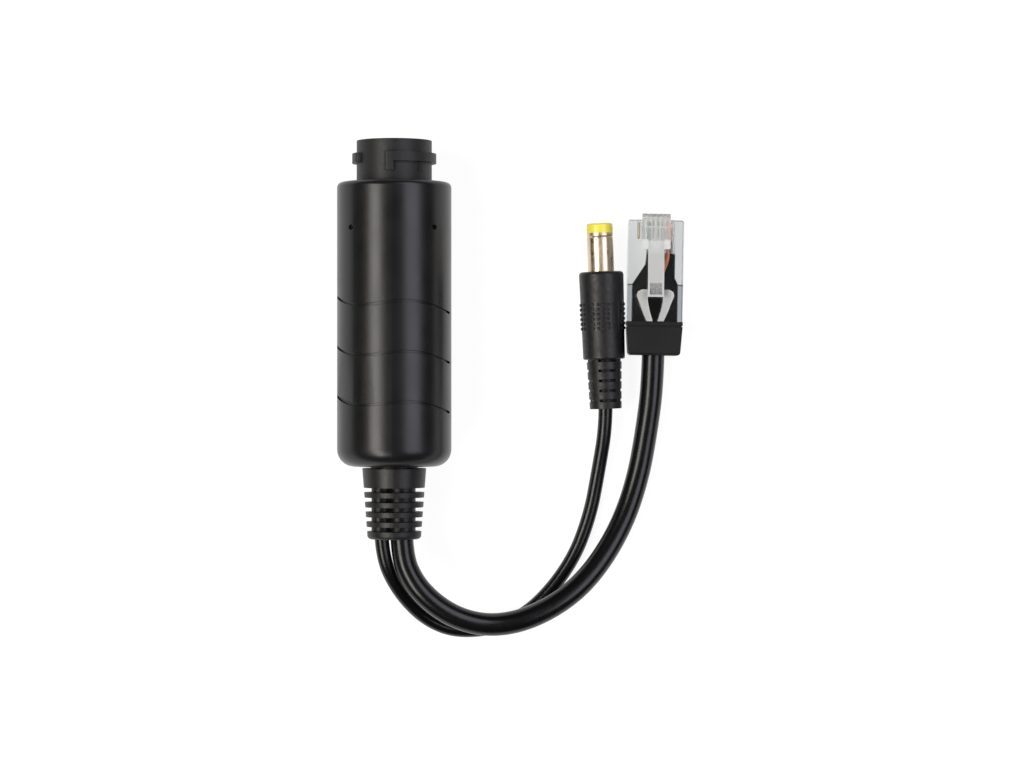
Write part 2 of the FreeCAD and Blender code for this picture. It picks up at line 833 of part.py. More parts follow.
def make_cable_boot():
    body = put(new_body("BootBlank"), up=axis_height, turned=LAID_DOWN)
    front = housing_rear - s.boot_neck_gap
    front_radius = s.boot_front_diameter / 2
    rear_radius = s.boot_rear_diameter / 2
    neck_radius = s.boot_neck_diameter / 2
    flange_radius = s.boot_flange_diameter / 2
    corners = [
        (0, boot_end),
        (rear_radius, boot_end),
        (front_radius, front),
        (neck_radius, front),
        (neck_radius, potting_rear),
        (flange_radius, potting_rear),
        (flange_radius, boot_front),
        (0, boot_front),
    ]
    turned = revolve(body, corners, "BootProfile")
    round_edges(body, turned, s.boot_rear_round, is_circle_at(rear_radius, boot_end))
    disks = []
    for number in range(BOOT_SLOTS):
        high = housing_rear - s.boot_plain_length - s.boot_slot_pitch * number
        disks.append(rod(f"BootSlot{number + 1}", front_radius + 1, high - s.boot_slot_width, high))
    cables = (
        (s.network_cable_diameter, s.network_cable_offset),
        (s.power_cable_diameter, s.power_cable_offset),
    )
    sleeves = []
    bores = []
    for number, (diameter, offset) in enumerate(cables, start=1):
        seat = boot_end + s.cable_seat
        sleeves.append(rod(f"CableSleeve{number}", lobe_radius(diameter), boot_end, boot_front, offset))
        bores.append(rod(f"CableBore{number}", diameter / 2 + s.seat_gap, boot_end - 1, seat, offset))
        bores.append(rod(f"LeadBore{number}", diameter / 2 - 0.05, seat - 1, boot_front + 1, offset))
    rings = cut("BootRings", fuse("BootSlots", disks), fuse("CableSleeves", sleeves))
    ribbed = cut("RibbedBoot", body, rings)
    finish("cable_boot", cut("CableBoot", ribbed, fuse("CableBores", bores)))


def make_potting():
    """The compound that fills the housing round the board and everything on it."""
    block = rod("PottingBlock", potting_radius - s.seat_gap, potting_rear, root_end)
    flange = rod("PottedFlange", s.boot_flange_diameter / 2, potting_rear, boot_front)
    sunk = {
        "circuit_board",
        "data_transformer",
        "transformer_core",
        "transformer_winding",
        "input_capacitor",
        "output_capacitor",
        "power_inductor",
        "bridge_rectifier_a",
        "bridge_rectifier_b",
        "controller_chip",
        "optocoupler",
        "output_diode",
        "network_leads",
        "power_leads",
    }
    inside = [piece for piece in finished if piece.Label in sunk or piece.Label.startswith("jack_contact")]
    finish("potting_fill", cut("PottingFill", block, fuse("PottedPieces", inside + [flange])))


# Cables


def route_wire(route):
    """Straight runs joined by tangent arcs; returns the wire and the arcs' radii."""
    points = [Vector(*point) for point in route]
    edges = []
    radii = []
    start = points[0]
    for before, corner, after in zip(points, points[1:], points[2:]):
        inward = (before - corner).normalize()
        outward = (after - corner).normalize()
        trim = ARC_SHARE * min((before - corner).Length, (after - corner).Length)
        half_turn = (math.pi - inward.getAngle(outward)) / 2
        radius = trim / math.tan(half_turn)
        first = corner + inward * trim
        last = corner + outward * trim
        bisector = (inward + outward).normalize()
        middle = corner + bisector * (radius / math.cos(half_turn) - radius)
        edges.append(Part.LineSegment(start, first).toShape())
        edges.append(Part.Arc(first, middle, last).toShape())
        radii.append(radius)
        start = last
    edges.append(Part.LineSegment(start, points[-1]).toShape())
    return Part.Wire(edges), radii


def make_cable(name, label, route, diameter):
    """A round jacket swept along its route."""
    wire, radii = route_wire(route)
    path = doc.addObject("Part::Feature", name + "Path")
    path.Shape = wire
    section = doc.addObject("Part::Circle", name + "Section")
    bind(section, "Radius", diameter / 2)
    start = Vector(*route[0])
    heading = Vector(*route[1]) - start
    section.Placement = Placement(start, Rotation(Vector(0, 0, 1), heading))
    sweep = doc.addObject("Part::Sweep", name)
    sweep.Sections = [section]
    sweep.Spine = (path, [f"Edge{number}" for number in range(1, len(wire.Edges) + 1)])
    sweep.Solid = True
    sweep.Frenet = False
    finish(label, sweep)
    doc.recompute()
    area = math.pi * value_of(diameter) ** 2 / 4
    print(f"{label}: length {wire.Length:.1f} mm, radii {[round(radius, 1) for radius in radii]}")
    print(f"{label}: volume {sweep.Shape.Volume:.1f}, section times length {area * wire.Length:.1f}")


# Barrel plug, drawn about Z with the grip's front face at Z = 0 and then laid down

grip_taper = math.atan((DRIVING_SIZES["grip_front_diameter"] - DRIVING_SIZES["grip_rear_diameter"]) / 2
                       / DRIVING_SIZES["grip_length"])


def lay_barrel_plug(thing):
    """Lays a piece of the barrel plug down, with the conical grip resting along its side."""
    turned = Rotation(Vector(0, 0, 1), BARREL_PLUG_LEAN)
    turned = turned.multiply(Rotation(Vector(1, 0, 0), math.degrees(grip_taper)))
    across, along = BARREL_PLUG_FRONT
    up = s.grip_front_diameter / 2 * math.cos(grip_taper)
    return put(thing, across, along, up, turned.multiply(LAID_DOWN))


def make_tube(name, label, inner, outer, low, high):
    body = lay_barrel_plug(new_body(name))
    corners = [(inner, low), (outer, low), (outer, high), (inner, high)]
    turned = revolve(body, corners, name + "Profile")
    finish(label, body)
    return body, turned


def make_plug_grip():
    body = lay_barrel_plug(new_body("PlugGrip"))
    relief_front = -s.grip_length
    relief_rear = relief_front - s.relief_length
    front_radius = s.grip_front_diameter / 2
    rear_radius = s.grip_rear_diameter / 2
    core_radius = s.relief_core_diameter / 2
    bore_radius = s.barrel_root_diameter / 2 + s.seat_gap
    cable_radius = s.power_cable_diameter / 2 + s.seat_gap
    corners = [
        (0, -s.barrel_root),
        (bore_radius, -s.barrel_root),
        (bore_radius, 0),
        (front_radius, 0),
        (rear_radius, relief_front),
        (s.relief_front_diameter / 2, relief_front),
        (s.relief_rear_diameter / 2, relief_rear),
        (cable_radius, relief_rear),
        (cable_radius, relief_rear + s.cable_seat),
        (0, relief_rear + s.cable_seat),
    ]
    turned = revolve(body, corners, "GripProfile")
    nose = round_edges(body, turned, s.grip_front_round, is_circle_at(front_radius, 0))
    round_edges(body, nose, s.grip_rear_round, is_circle_at(rear_radius, relief_front))
    slot_width = s.relief_pitch - s.relief_ring
    slots = new_sketch(body, "ReliefSlots", offset=relief_front - slot_width)
    for number in range(RELIEF_WEBS):
        start = number * 90.0 - 45.0 + 10.0 + value_of(s.relief_web) / 2
        draw_ring_sector(slots, core_radius, front_radius, start, 90.0 - value_of(s.relief_web))
    slot_cut = pocket(body, slots, slot_width)
    pattern_line(body, slot_cut, slots, "N_Axis", s.relief_pitch, RELIEF_RINGS, backwards=True)
    finish("dc_plug_body", body)


def make_barrel_plug():
    outer = s.barrel_diameter / 2
    root = s.barrel_root_diameter / 2
    bore = outer - s.barrel_wall
    tip = s.barrel_exposed
    pin_outer = s.pin_bore / 2 + s.pin_wall
    make_plug_grip()
    body = lay_barrel_plug(new_body("BarrelSleeve"))
    roll = tip - 0.8
    corners = [
        (bore, -s.barrel_root),
        (root, -s.barrel_root),
        (root, 0),
        (outer, 0),
        (outer, roll - 0.2),
        (outer - 0.15, roll),
        (outer, roll + 0.2),
        (outer, tip),
        (bore, tip),
    ]
    revolve(body, corners, "BarrelProfile")
    finish("dc_barrel", body)
    body = lay_barrel_plug(new_body("TipInsulator"))
    sleeve = bore - s.seat_gap
    corners = [
        (s.tip_bore / 2, tip - s.tip_length),
        (sleeve, tip - s.tip_length),
        (sleeve, tip),
        (outer, tip),
        (outer, tip + s.tip_length),
        (s.tip_bore / 2, tip + s.tip_length),
    ]
    turned = revolve(body, corners, "TipProfile")
    round_edges(body, turned, 0.4, is_circle_at(outer, tip + s.tip_length))
    finish("dc_tip_insulator", body)
    insulator = pin_outer + s.seat_gap
    make_tube("CoreInsulator", "dc_core_insulator", insulator, sleeve, -s.barrel_root, tip - s.tip_length)
    pin_end = tip + s.tip_length - s.pin_setback
    make_tube("CentreContact", "dc_centre_contact", s.pin_bore / 2, pin_outer, -s.barrel_root, pin_end)


# Network plug, drawn in plan with its rear end at Y = 0, its nose towards +Y and its floor at Z = 0


def lay_network_plug(thing, across=0.0):
    turned = Rotation(Vector(0, 0, 1), NETWORK_PLUG_LEAN)
    x, y = NETWORK_PLUG_REAR
    thing.Placement = Placement(Vector(x, y, 0), turned).multiply(
        Placement(Vector(value_of(across), 0, 0), Rotation())
    )
    return thing


def pin_offset(number):
    """Where a contact stands across the plug: number one on the right, seen from above."""
    return s.contact_pitch * ((NETWORK_CONTACTS + 1) / 2 - number)


def filling_outline(gap=0.0):
    """Plan of the black moulding inside the clear shell, grown by a gap for the shell's cavity."""
    half = s.plug_width / 2 - s.plug_wall + gap
    return [
        (-half, 0),
        (half, 0),
        (half, s.plug_shoulder + gap),
        (4.1 + gap, 9.2 + gap),
        (4.1 + gap, 14.3 + gap),
        (3.65 + gap, 14.3 + gap),
        (3.3, 16.9 + gap),
        (2.9 - gap, 14.3 + gap),
        (-1.9 - gap, 14.7 + gap),
        (-2.1 - gap, 12.0 + gap),
        (-half, s.plug_shoulder + gap),
    ]


filling_floor = s.plug_floor
filling_top = s.conductor_height + 0.1
blade_low = 0.7
blade_top = s.conductor_height - s.conductor_diameter / 2 - 0.02
blade_rear = s.plug_length - 0.5 - s.blade_length


def make_latch(body):
    """The latch springs from the nose and rises backwards, wide at its shoulders and then narrow."""
    top = s.plug_height
    nose = s.plug_length + s.latch_nose
    thick = s.latch_thickness
    shoulder = s.plug_length - 6.2
    wide = [
        (s.plug_length - 0.6, top - 2.2),
        (nose, top - 1.9),
        (nose, top - 0.2),
        (nose - 0.8, top + 0.7),
        (shoulder, top + 0.8 + thick),
        (shoulder, top + 0.8),
        (s.plug_length - 1.4, top),
    ]
    side = draw_outline(new_sketch(body, "LatchShoulders", "YZ_Plane"), wide)
    pad(body, side, s.latch_width, midplane=True)
    tail = s.plug_length - 16.3
    narrow = [
        (shoulder + 1, top + 0.72),
        (shoulder + 1, top + 0.62 + thick),
        (tail, top + 2.9 + thick),
        (tail, top + 2.9),
    ]
    side = draw_outline(new_sketch(body, "LatchLever", "YZ_Plane"), narrow)
    pad(body, side, s.latch_lever_width, midplane=True)
    recess = new_sketch(body, "LatchRecess", offset=top + 2.9 + thick - s.latch_recess - 0.45)
    half = s.latch_lever_width / 2 - 0.35
    draw_rectangle(recess, -half, tail + 0.45, half, tail + 3.0)
    pocket(body, recess, 2.0)


def make_guards(body):
    """Two curved guards on top, narrow at the rear, that keep the lever's tail from snagging."""
    for name, side in (("LeftGuard", -1), ("RightGuard", 1)):
        plan = new_sketch(body, name, offset=s.plug_height - 0.5)
        inner = [(1.7, 6.65), (1.6, 4.2), (1.2, 2.2), (0.55, 0.05)]
        outer = [(1.75, 0.05), (2.6, 2.0), (3.3, 3.9), (3.9, 5.4), (3.7, 6.2), (2.9, 6.65)]
        draw_outline(plan, [(side * across, along) for across, along in inner + outer])
        pad(body, plan, s.guard_height + 0.5)


def make_plug_shell():
    body = lay_network_plug(new_body("PlugShell"))
    half = s.plug_width / 2
    block_plan = draw_rectangle(new_sketch(body, "ShellPlan"), -half, 0, half, s.plug_length)
    block = pad(body, block_plan, s.plug_height)

    def is_nose_corner(edge):
        middle = edge.CenterOfMass
        upright = abs(edge.tangentAt(edge.FirstParameter).z) > 0.99
        return upright and abs(middle.y - value_of(s.plug_length)) < 0.01

    round_edges(body, block, 0.4, is_nose_corner)
    make_latch(body)
    make_guards(body)
    cavity = new_sketch(body, "CavityPlan", offset=filling_floor - s.seat_gap)
    draw_outline(cavity, filling_outline(s.seat_gap))
    pocket(body, cavity, filling_top + 0.7 - filling_floor)
    slot = new_sketch(body, "BladeSlot")
    first = pin_offset(NETWORK_CONTACTS)
    slot_half = s.blade_thickness / 2 + s.seat_gap
    slot_rear = blade_rear - s.seat_gap
    draw_rectangle(slot, first - slot_half, slot_rear, first + slot_half, s.plug_length + 1)
    slot_cut = pocket(body, slot, s.conductor_height)
    pattern_line(body, slot_cut, slot, "H_Axis", s.contact_pitch, NETWORK_CONTACTS)
    tunnels = new_sketch(body, "ConductorTunnels", "XZ_Plane", offset=-(s.plug_length - 0.6))
    for number in (1, 2, 3, 6):
        draw_circle(tunnels, s.conductor_diameter / 2 + s.tunnel_gap, pin_offset(number), s.conductor_height)
    pocket(body, tunnels, s.plug_length - 0.6 - 13.0)
    finish("plug_shell", body)


def make_conductor(number, label):
    """A straight insulated wire from the black moulding to its blade at the nose."""
    wire = doc.addObject("Part::Cylinder", f"Conductor{number}")
    rear = s.plug_length - 7.0
    bind(wire, "Radius", s.conductor_diameter / 2)
    bind(wire, "Height", s.plug_length - 0.65 - rear)
    lay_network_plug(wire)
    local = Placement(
        Vector(value_of(pin_offset(number)), value_of(rear), value_of(s.conductor_height)),
        Rotation(Vector(1, 0, 0), -90),
    )
    wire.Placement = wire.Placement.multiply(local)
    finish(label, wire)


def make_conductors():
    for number, label in ((1, "conductor_white_orange"), (3, "conductor_white_green"), (6, "conductor_green")):
        make_conductor(number, label)
    height = value_of(s.conductor_height)
    across = value_of(pin_offset(2))
    front = value_of(s.plug_length) - 0.65
    route = [(across, front, height), (across, 13.3, height), (1.6, 10.6, height)]
    wire, _ = route_wire(route)
    path = lay_network_plug(doc.addObject("Part::Feature", "OrangePath"))
    path.Shape = wire
    lay_network_plug(path)
    section = doc.addObject("Part::Circle", "OrangeSection")
    bind(section, "Radius", s.conductor_diameter / 2)
    lay_network_plug(section)
    local = Placement(Vector(*route[0]), Rotation(Vector(1, 0, 0), 90))
    section.Placement = section.Placement.multiply(local)
    sweep = doc.addObject("Part::Sweep", "OrangeConductor")
    sweep.Sections = [section]
    sweep.Spine = (path, [f"Edge{number}" for number in range(1, len(wire.Edges) + 1)])
    sweep.Solid = True
    finish("conductor_orange", sweep)
    return sweep


def make_blade(number):
    name = f"PlugBlade{number}"
    body = lay_network_plug(new_body(name), pin_offset(number))
    side = new_sketch(body, name + "Side", "YZ_Plane")
    front = s.plug_length - 0.5
    corners = [
        (blade_rear, blade_low),
        (front - 0.5, blade_low),
        (front, blade_low + 0.5),
        (front, blade_top),
        (blade_rear, blade_top),
    ]
    pad(body, draw_outline(side, corners), s.blade_thickness, midplane=True)
    finish(f"plug_contact_{number}", body)


def make_plug_boot(wires):
    """The black overmould: the boot behind the shell and the filling inside it, in one piece."""
    body = lay_network_plug(new_body("BootMoulding"))
    half = s.plug_boot_width / 2
    rear_half = s.plug_boot_rear_width / 2
    plan = new_sketch(body, "BootPlan")
    rear = -s.plug_boot_length
    draw_outline(plan, [(-rear_half, rear), (rear_half, rear), (half, -0.8), (half, 0), (-half, 0), (-half, -0.8)])
    block = pad(body, plan, s.plug_boot_height)

    def is_rear_edge(edge):
        middle = edge.CenterOfMass
        return abs(middle.y - value_of(rear)) < 0.01 and middle.z > 0.01

    round_edges(body, block, 0.7, is_rear_edge)
    groove = new_sketch(body, "BootGroove", "XZ_Plane", offset=0.8)
    outer = half + 1
    inner = half - s.plug_boot_groove
    draw_rectangle(groove, -outer, -1, outer, s.plug_boot_height + 1)
    draw_rectangle(groove, -inner, s.plug_boot_groove, inner, s.plug_boot_height - s.plug_boot_groove)
    pocket(body, groove, 0.25)
    filling = new_sketch(body, "FillingPlan", offset=filling_floor)
    draw_outline(filling, filling_outline())
    pad(body, filling, filling_top - filling_floor)
    bore = new_sketch(body, "CableBorePlan", "XZ_Plane", offset=s.plug_boot_length)
    draw_circle(bore, s.network_cable_diameter / 2 + s.seat_gap, 0, 3.6)
    pocket(body, bore, 3.6, outward=False)
    finish("plug_boot", cut("PlugBoot", body, fuse("FillingWires", wires)))


def make_network_plug():
    make_plug_shell()
    make_conductors()
    wires = [piece for piece in finished if piece.Label.startswith("conductor")]
    for number in range(1, NETWORK_CONTACTS + 1):
        make_blade(number)
    make_plug_boot(wires)


def check_and_write():
    """Stops if anything in the document failed, and then writes one file for each sub-part."""
    doc.recompute()
    failed = [thing.Name for thing in doc.Objects if {"Invalid", "Error"} & set(thing.State)]
    if failed:
        raise RuntimeError(f"these objects failed: {failed}")
    os.makedirs("parts", exist_ok=True)
    for piece in finished:
        if piece.Shape.isNull() or not piece.Shape.isValid() or not piece.Shape.Solids:
            raise RuntimeError(f"{piece.Label} has no valid solid")
    for piece in finished:
        piece.Shape.exportStep(f"parts/{piece.Label}.step")
        print(f"{piece.Label}: {len(piece.Shape.Solids)} solid(s), {piece.Shape.Volume:.2f} mm3")


make_housing_shell()
make_bayonet_collar()
make_contact_carrier()
for contact in range(1, NETWORK_CONTACTS + 1):
    make_jack_contact(contact)
make_board()
make_components()
make_leads("NetworkLeads", "network_leads", s.network_cable_offset, 4)
make_leads("PowerLeads", "power_leads", s.power_cable_offset, 1)
make_cable_boot()
make_potting()
make_cable("NetworkCable", "network_cable", NETWORK_CABLE_ROUTE, s.network_cable_diameter)
make_cable("PowerCable", "dc_cable", POWER_CABLE_ROUTE, s.power_cable_diameter)
make_barrel_plug()
make_network_plug()
check_and_write()
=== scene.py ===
"""Looks of an inline network power splitter: a round potted housing with two leads.

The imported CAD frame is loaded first. Its solids keep their places and shapes; each gets the finish of the
real material, and the two leads and the small moulded details are built here.
"""

import json
import logging
import math
from dataclasses import dataclass
from enum import Enum

import bmesh
import bpy
from mathutils import Euler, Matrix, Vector


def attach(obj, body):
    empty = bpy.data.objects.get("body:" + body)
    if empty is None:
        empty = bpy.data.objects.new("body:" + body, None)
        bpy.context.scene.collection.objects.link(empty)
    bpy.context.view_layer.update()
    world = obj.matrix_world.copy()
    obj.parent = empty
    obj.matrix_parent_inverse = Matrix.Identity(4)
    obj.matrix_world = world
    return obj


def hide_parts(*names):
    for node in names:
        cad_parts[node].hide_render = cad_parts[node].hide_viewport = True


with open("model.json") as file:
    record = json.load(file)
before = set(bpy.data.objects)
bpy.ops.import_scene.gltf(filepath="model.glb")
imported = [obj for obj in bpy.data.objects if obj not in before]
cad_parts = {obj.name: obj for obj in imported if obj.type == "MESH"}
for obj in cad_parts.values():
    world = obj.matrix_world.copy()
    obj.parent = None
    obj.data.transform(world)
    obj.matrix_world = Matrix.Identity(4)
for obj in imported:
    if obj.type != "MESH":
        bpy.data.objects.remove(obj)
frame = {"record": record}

LOG = logging.getLogger("splitter")
MM = 0.001
NOISE_LOW, NOISE_HIGH = 0.3, 0.7  # between these lies most of a noise texture
WAVE_SCALE = 0.314  # scale at which a wave texture repeats once in its unit of length
EDGE_SAMPLES = 4


def linear(hex_colour: str) -> tuple[float, float, float, float]:
    """Turn an sRGB hex colour into the linear colour that a shader takes.

    Args:
        hex_colour: six hex digits, with or without a leading hash.

    Returns:
        Linear red, green, blue and an alpha of 1.
    """
    digits = hex_colour.lstrip("#")
    channels = []
    for start in (0, 2, 4):
        value = int(digits[start:start + 2], 16) / 255
        channels.append(value / 12.92 if value <= 0.04045 else ((value + 0.055) / 1.055) ** 2.4)
    return (channels[0], channels[1], channels[2], 1.0)


def add_node(tree: bpy.types.NodeTree, kind: str, links: dict | None = None, **settings: object) -> bpy.types.Node:
    """Add a node with its settings and incoming links.

    Args:
        tree: node tree that gets the node.
        kind: Blender's name for the node's type.
        links: input name or number to the output socket that feeds it.
        settings: properties of the node, or values of its inputs by name with underscores for spaces.

    Returns:
        The new node.
    """
    node = tree.nodes.new(kind)
    for name, value in settings.items():
        if hasattr(node, name):
            setattr(node, name, value)
        else:
            node.inputs[name.replace("_", " ")].default_value = value
    for name, source in (links or {}).items():
        tree.links.new(source, node.inputs[name])
    return node


def calculate(tree: bpy.types.NodeTree, operation: str, first: bpy.types.NodeSocket,
              *others: bpy.types.NodeSocket | float) -> bpy.types.NodeSocket:
    """Add a math node.

    Args:
        tree: node tree that gets the node.
        operation: Blender's name for the operation.
        first: socket that feeds the first input.
        others: socket or number for each further input.

    Returns:
        The result's socket.
    """
    node = add_node(tree, "ShaderNodeMath", {0: first}, operation=operation)
    for number, other in enumerate(others, start=1):
        if isinstance(other, float):
            node.inputs[number].default_value = other
        else:
            tree.links.new(other, node.inputs[number])
    return node.outputs[0]


def mix_colours(tree: bpy.types.NodeTree, share: bpy.types.NodeSocket, first: bpy.types.NodeSocket | str,
                second: str) -> bpy.types.NodeSocket:
    """Add a node that goes from one colour to another.

    Args:
        tree: node tree that gets the node.
        share: socket that gives how much of the second colour there is.
        first: socket of a colour, or an sRGB hex colour.
        second: sRGB hex colour.

    Returns:
        The mixed colour's socket.
    """
    node = add_node(tree, "ShaderNodeMix", {0: share}, data_type="RGBA")
    if isinstance(first, str):
        node.inputs[6].default_value = linear(first)
    else:
        tree.links.new(first, node.inputs[6])
    node.inputs[7].default_value = linear(second)
    return node.outputs[2]


def noise(tree: bpy.types.NodeTree, place: bpy.types.Node, size_mm: float, detail: float,
          roughness: float = 0.5) -> bpy.types.NodeSocket:
    """Add a noise texture over the piece.

    Args:
        tree: node tree that gets the node.
        place: the texture coordinate node.
        size_mm: size of its clouds or grains.
        detail: how many finer layers it has.
        roughness: how strong the finer layers are.

    Returns:
        The noise's socket.
    """
    texture = add_node(tree, "ShaderNodeTexNoise", {"Vector": place.outputs["Object"]}, Scale=1 / (size_mm * MM),
                       Detail=detail, Roughness=roughness)
    return texture.outputs["Fac"]


def gloss_range(tree: bpy.types.NodeTree, value: bpy.types.NodeSocket, low: float,
                high: float) -> bpy.types.NodeSocket:
    """Add a node that spreads a noise over a range of roughness and give its result's socket."""
    spread = add_node(tree, "ShaderNodeMapRange", {"Value": value}, From_Min=NOISE_LOW, From_Max=NOISE_HIGH,
                      To_Min=low, To_Max=high)
    return spread.outputs["Result"]


def blank_material(name: str) -> tuple[bpy.types.Material, bpy.types.NodeTree]:
    """Make a material with an empty node tree.

    Args:
        name: the material's name.

    Returns:
        The material and its tree.
    """
    material = bpy.data.materials.new(name)
    material.use_nodes = True
    material.node_tree.nodes.clear()
    return material, material.node_tree


@dataclass(frozen=True)
class MouldedPlastic:
    """Moulded, extruded or cast material with a fine grain, which spreads its highlights.

    Speckle is how much the roughness changes from grain to grain.
    """

    name: str
    colour: str
    worn_colour: str
    roughness: float
    grain_mm: float
    grain_depth_mm: float
    ior: float = 1.5
    specular: float = 0.5
    roughness_spread: float = 0.03
    cloud_mm: float = 7.0
    edge_mm: float = 0.12
    speckle: float = 0.1

    def build(self) -> bpy.types.Material:
        """Build the material: clouded colour, uneven gloss and fine grain."""
        material, tree = blank_material(self.name)
        place = add_node(tree, "ShaderNodeTexCoord")
        clouds = noise(tree, place, self.cloud_mm, 4.0, 0.6)
        tint = mix_colours(tree, clouds, self.colour, self.worn_colour)
        middle = self.roughness - self.speckle / 2
        gloss = gloss_range(tree, clouds, middle - self.roughness_spread, middle + self.roughness_spread)
        grain = noise(tree, place, self.grain_mm, 3.0, 0.7)
        speckled = calculate(tree, "MULTIPLY_ADD", grain, self.speckle, gloss)
        edge = add_node(tree, "ShaderNodeBevel", samples=EDGE_SAMPLES, Radius=self.edge_mm * MM)
        bump = add_node(tree, "ShaderNodeBump", {"Height": grain, "Normal": edge.outputs["Normal"]},
                        Strength=1.0, Distance=self.grain_depth_mm * MM)
        shader = add_node(tree, "ShaderNodeBsdfPrincipled",
                          {"Base Color": tint, "Roughness": speckled, "Normal": bump.outputs["Normal"]}, IOR=self.ior)
        shader.inputs["Specular IOR Level"].default_value = self.specular
        add_node(tree, "ShaderNodeOutputMaterial", {"Surface": shader.outputs["BSDF"]})
        return material


@dataclass(frozen=True)
class PlatedMetal:
    """Turned, stamped or drawn metal: fine lines across it and a little smeared."""

    name: str
    colour: str
    roughness: float
    line_mm: float
    line_depth_mm: float
    smear_mm: float = 2.5
    smoothest: float = 0.8
    roughest: float = 1.3
    line_wander: float = 1.5

    def build(self) -> bpy.types.Material:
        """Build the material: coloured metal with fine lines and a little uneven gloss."""
        material, tree = blank_material(self.name)
        place = add_node(tree, "ShaderNodeTexCoord")
        smear = noise(tree, place, self.smear_mm, 3.0)
        gloss = gloss_range(tree, smear, self.roughness * self.smoothest, self.roughness * self.roughest)
        lines = add_node(tree, "ShaderNodeTexWave", {"Vector": place.outputs["Object"]}, bands_direction="Y",
                         Scale=WAVE_SCALE / (self.line_mm * MM), Distortion=self.line_wander)
        bump = add_node(tree, "ShaderNodeBump", {"Height": lines.outputs["Fac"]},
                        Strength=1.0, Distance=self.line_depth_mm * MM)
        shader = add_node(tree, "ShaderNodeBsdfPrincipled",
                          {"Roughness": gloss, "Normal": bump.outputs["Normal"]}, Metallic=1.0)
        shader.inputs["Base Color"].default_value = linear(self.colour)
        add_node(tree, "ShaderNodeOutputMaterial", {"Surface": shader.outputs["BSDF"]})
        return material


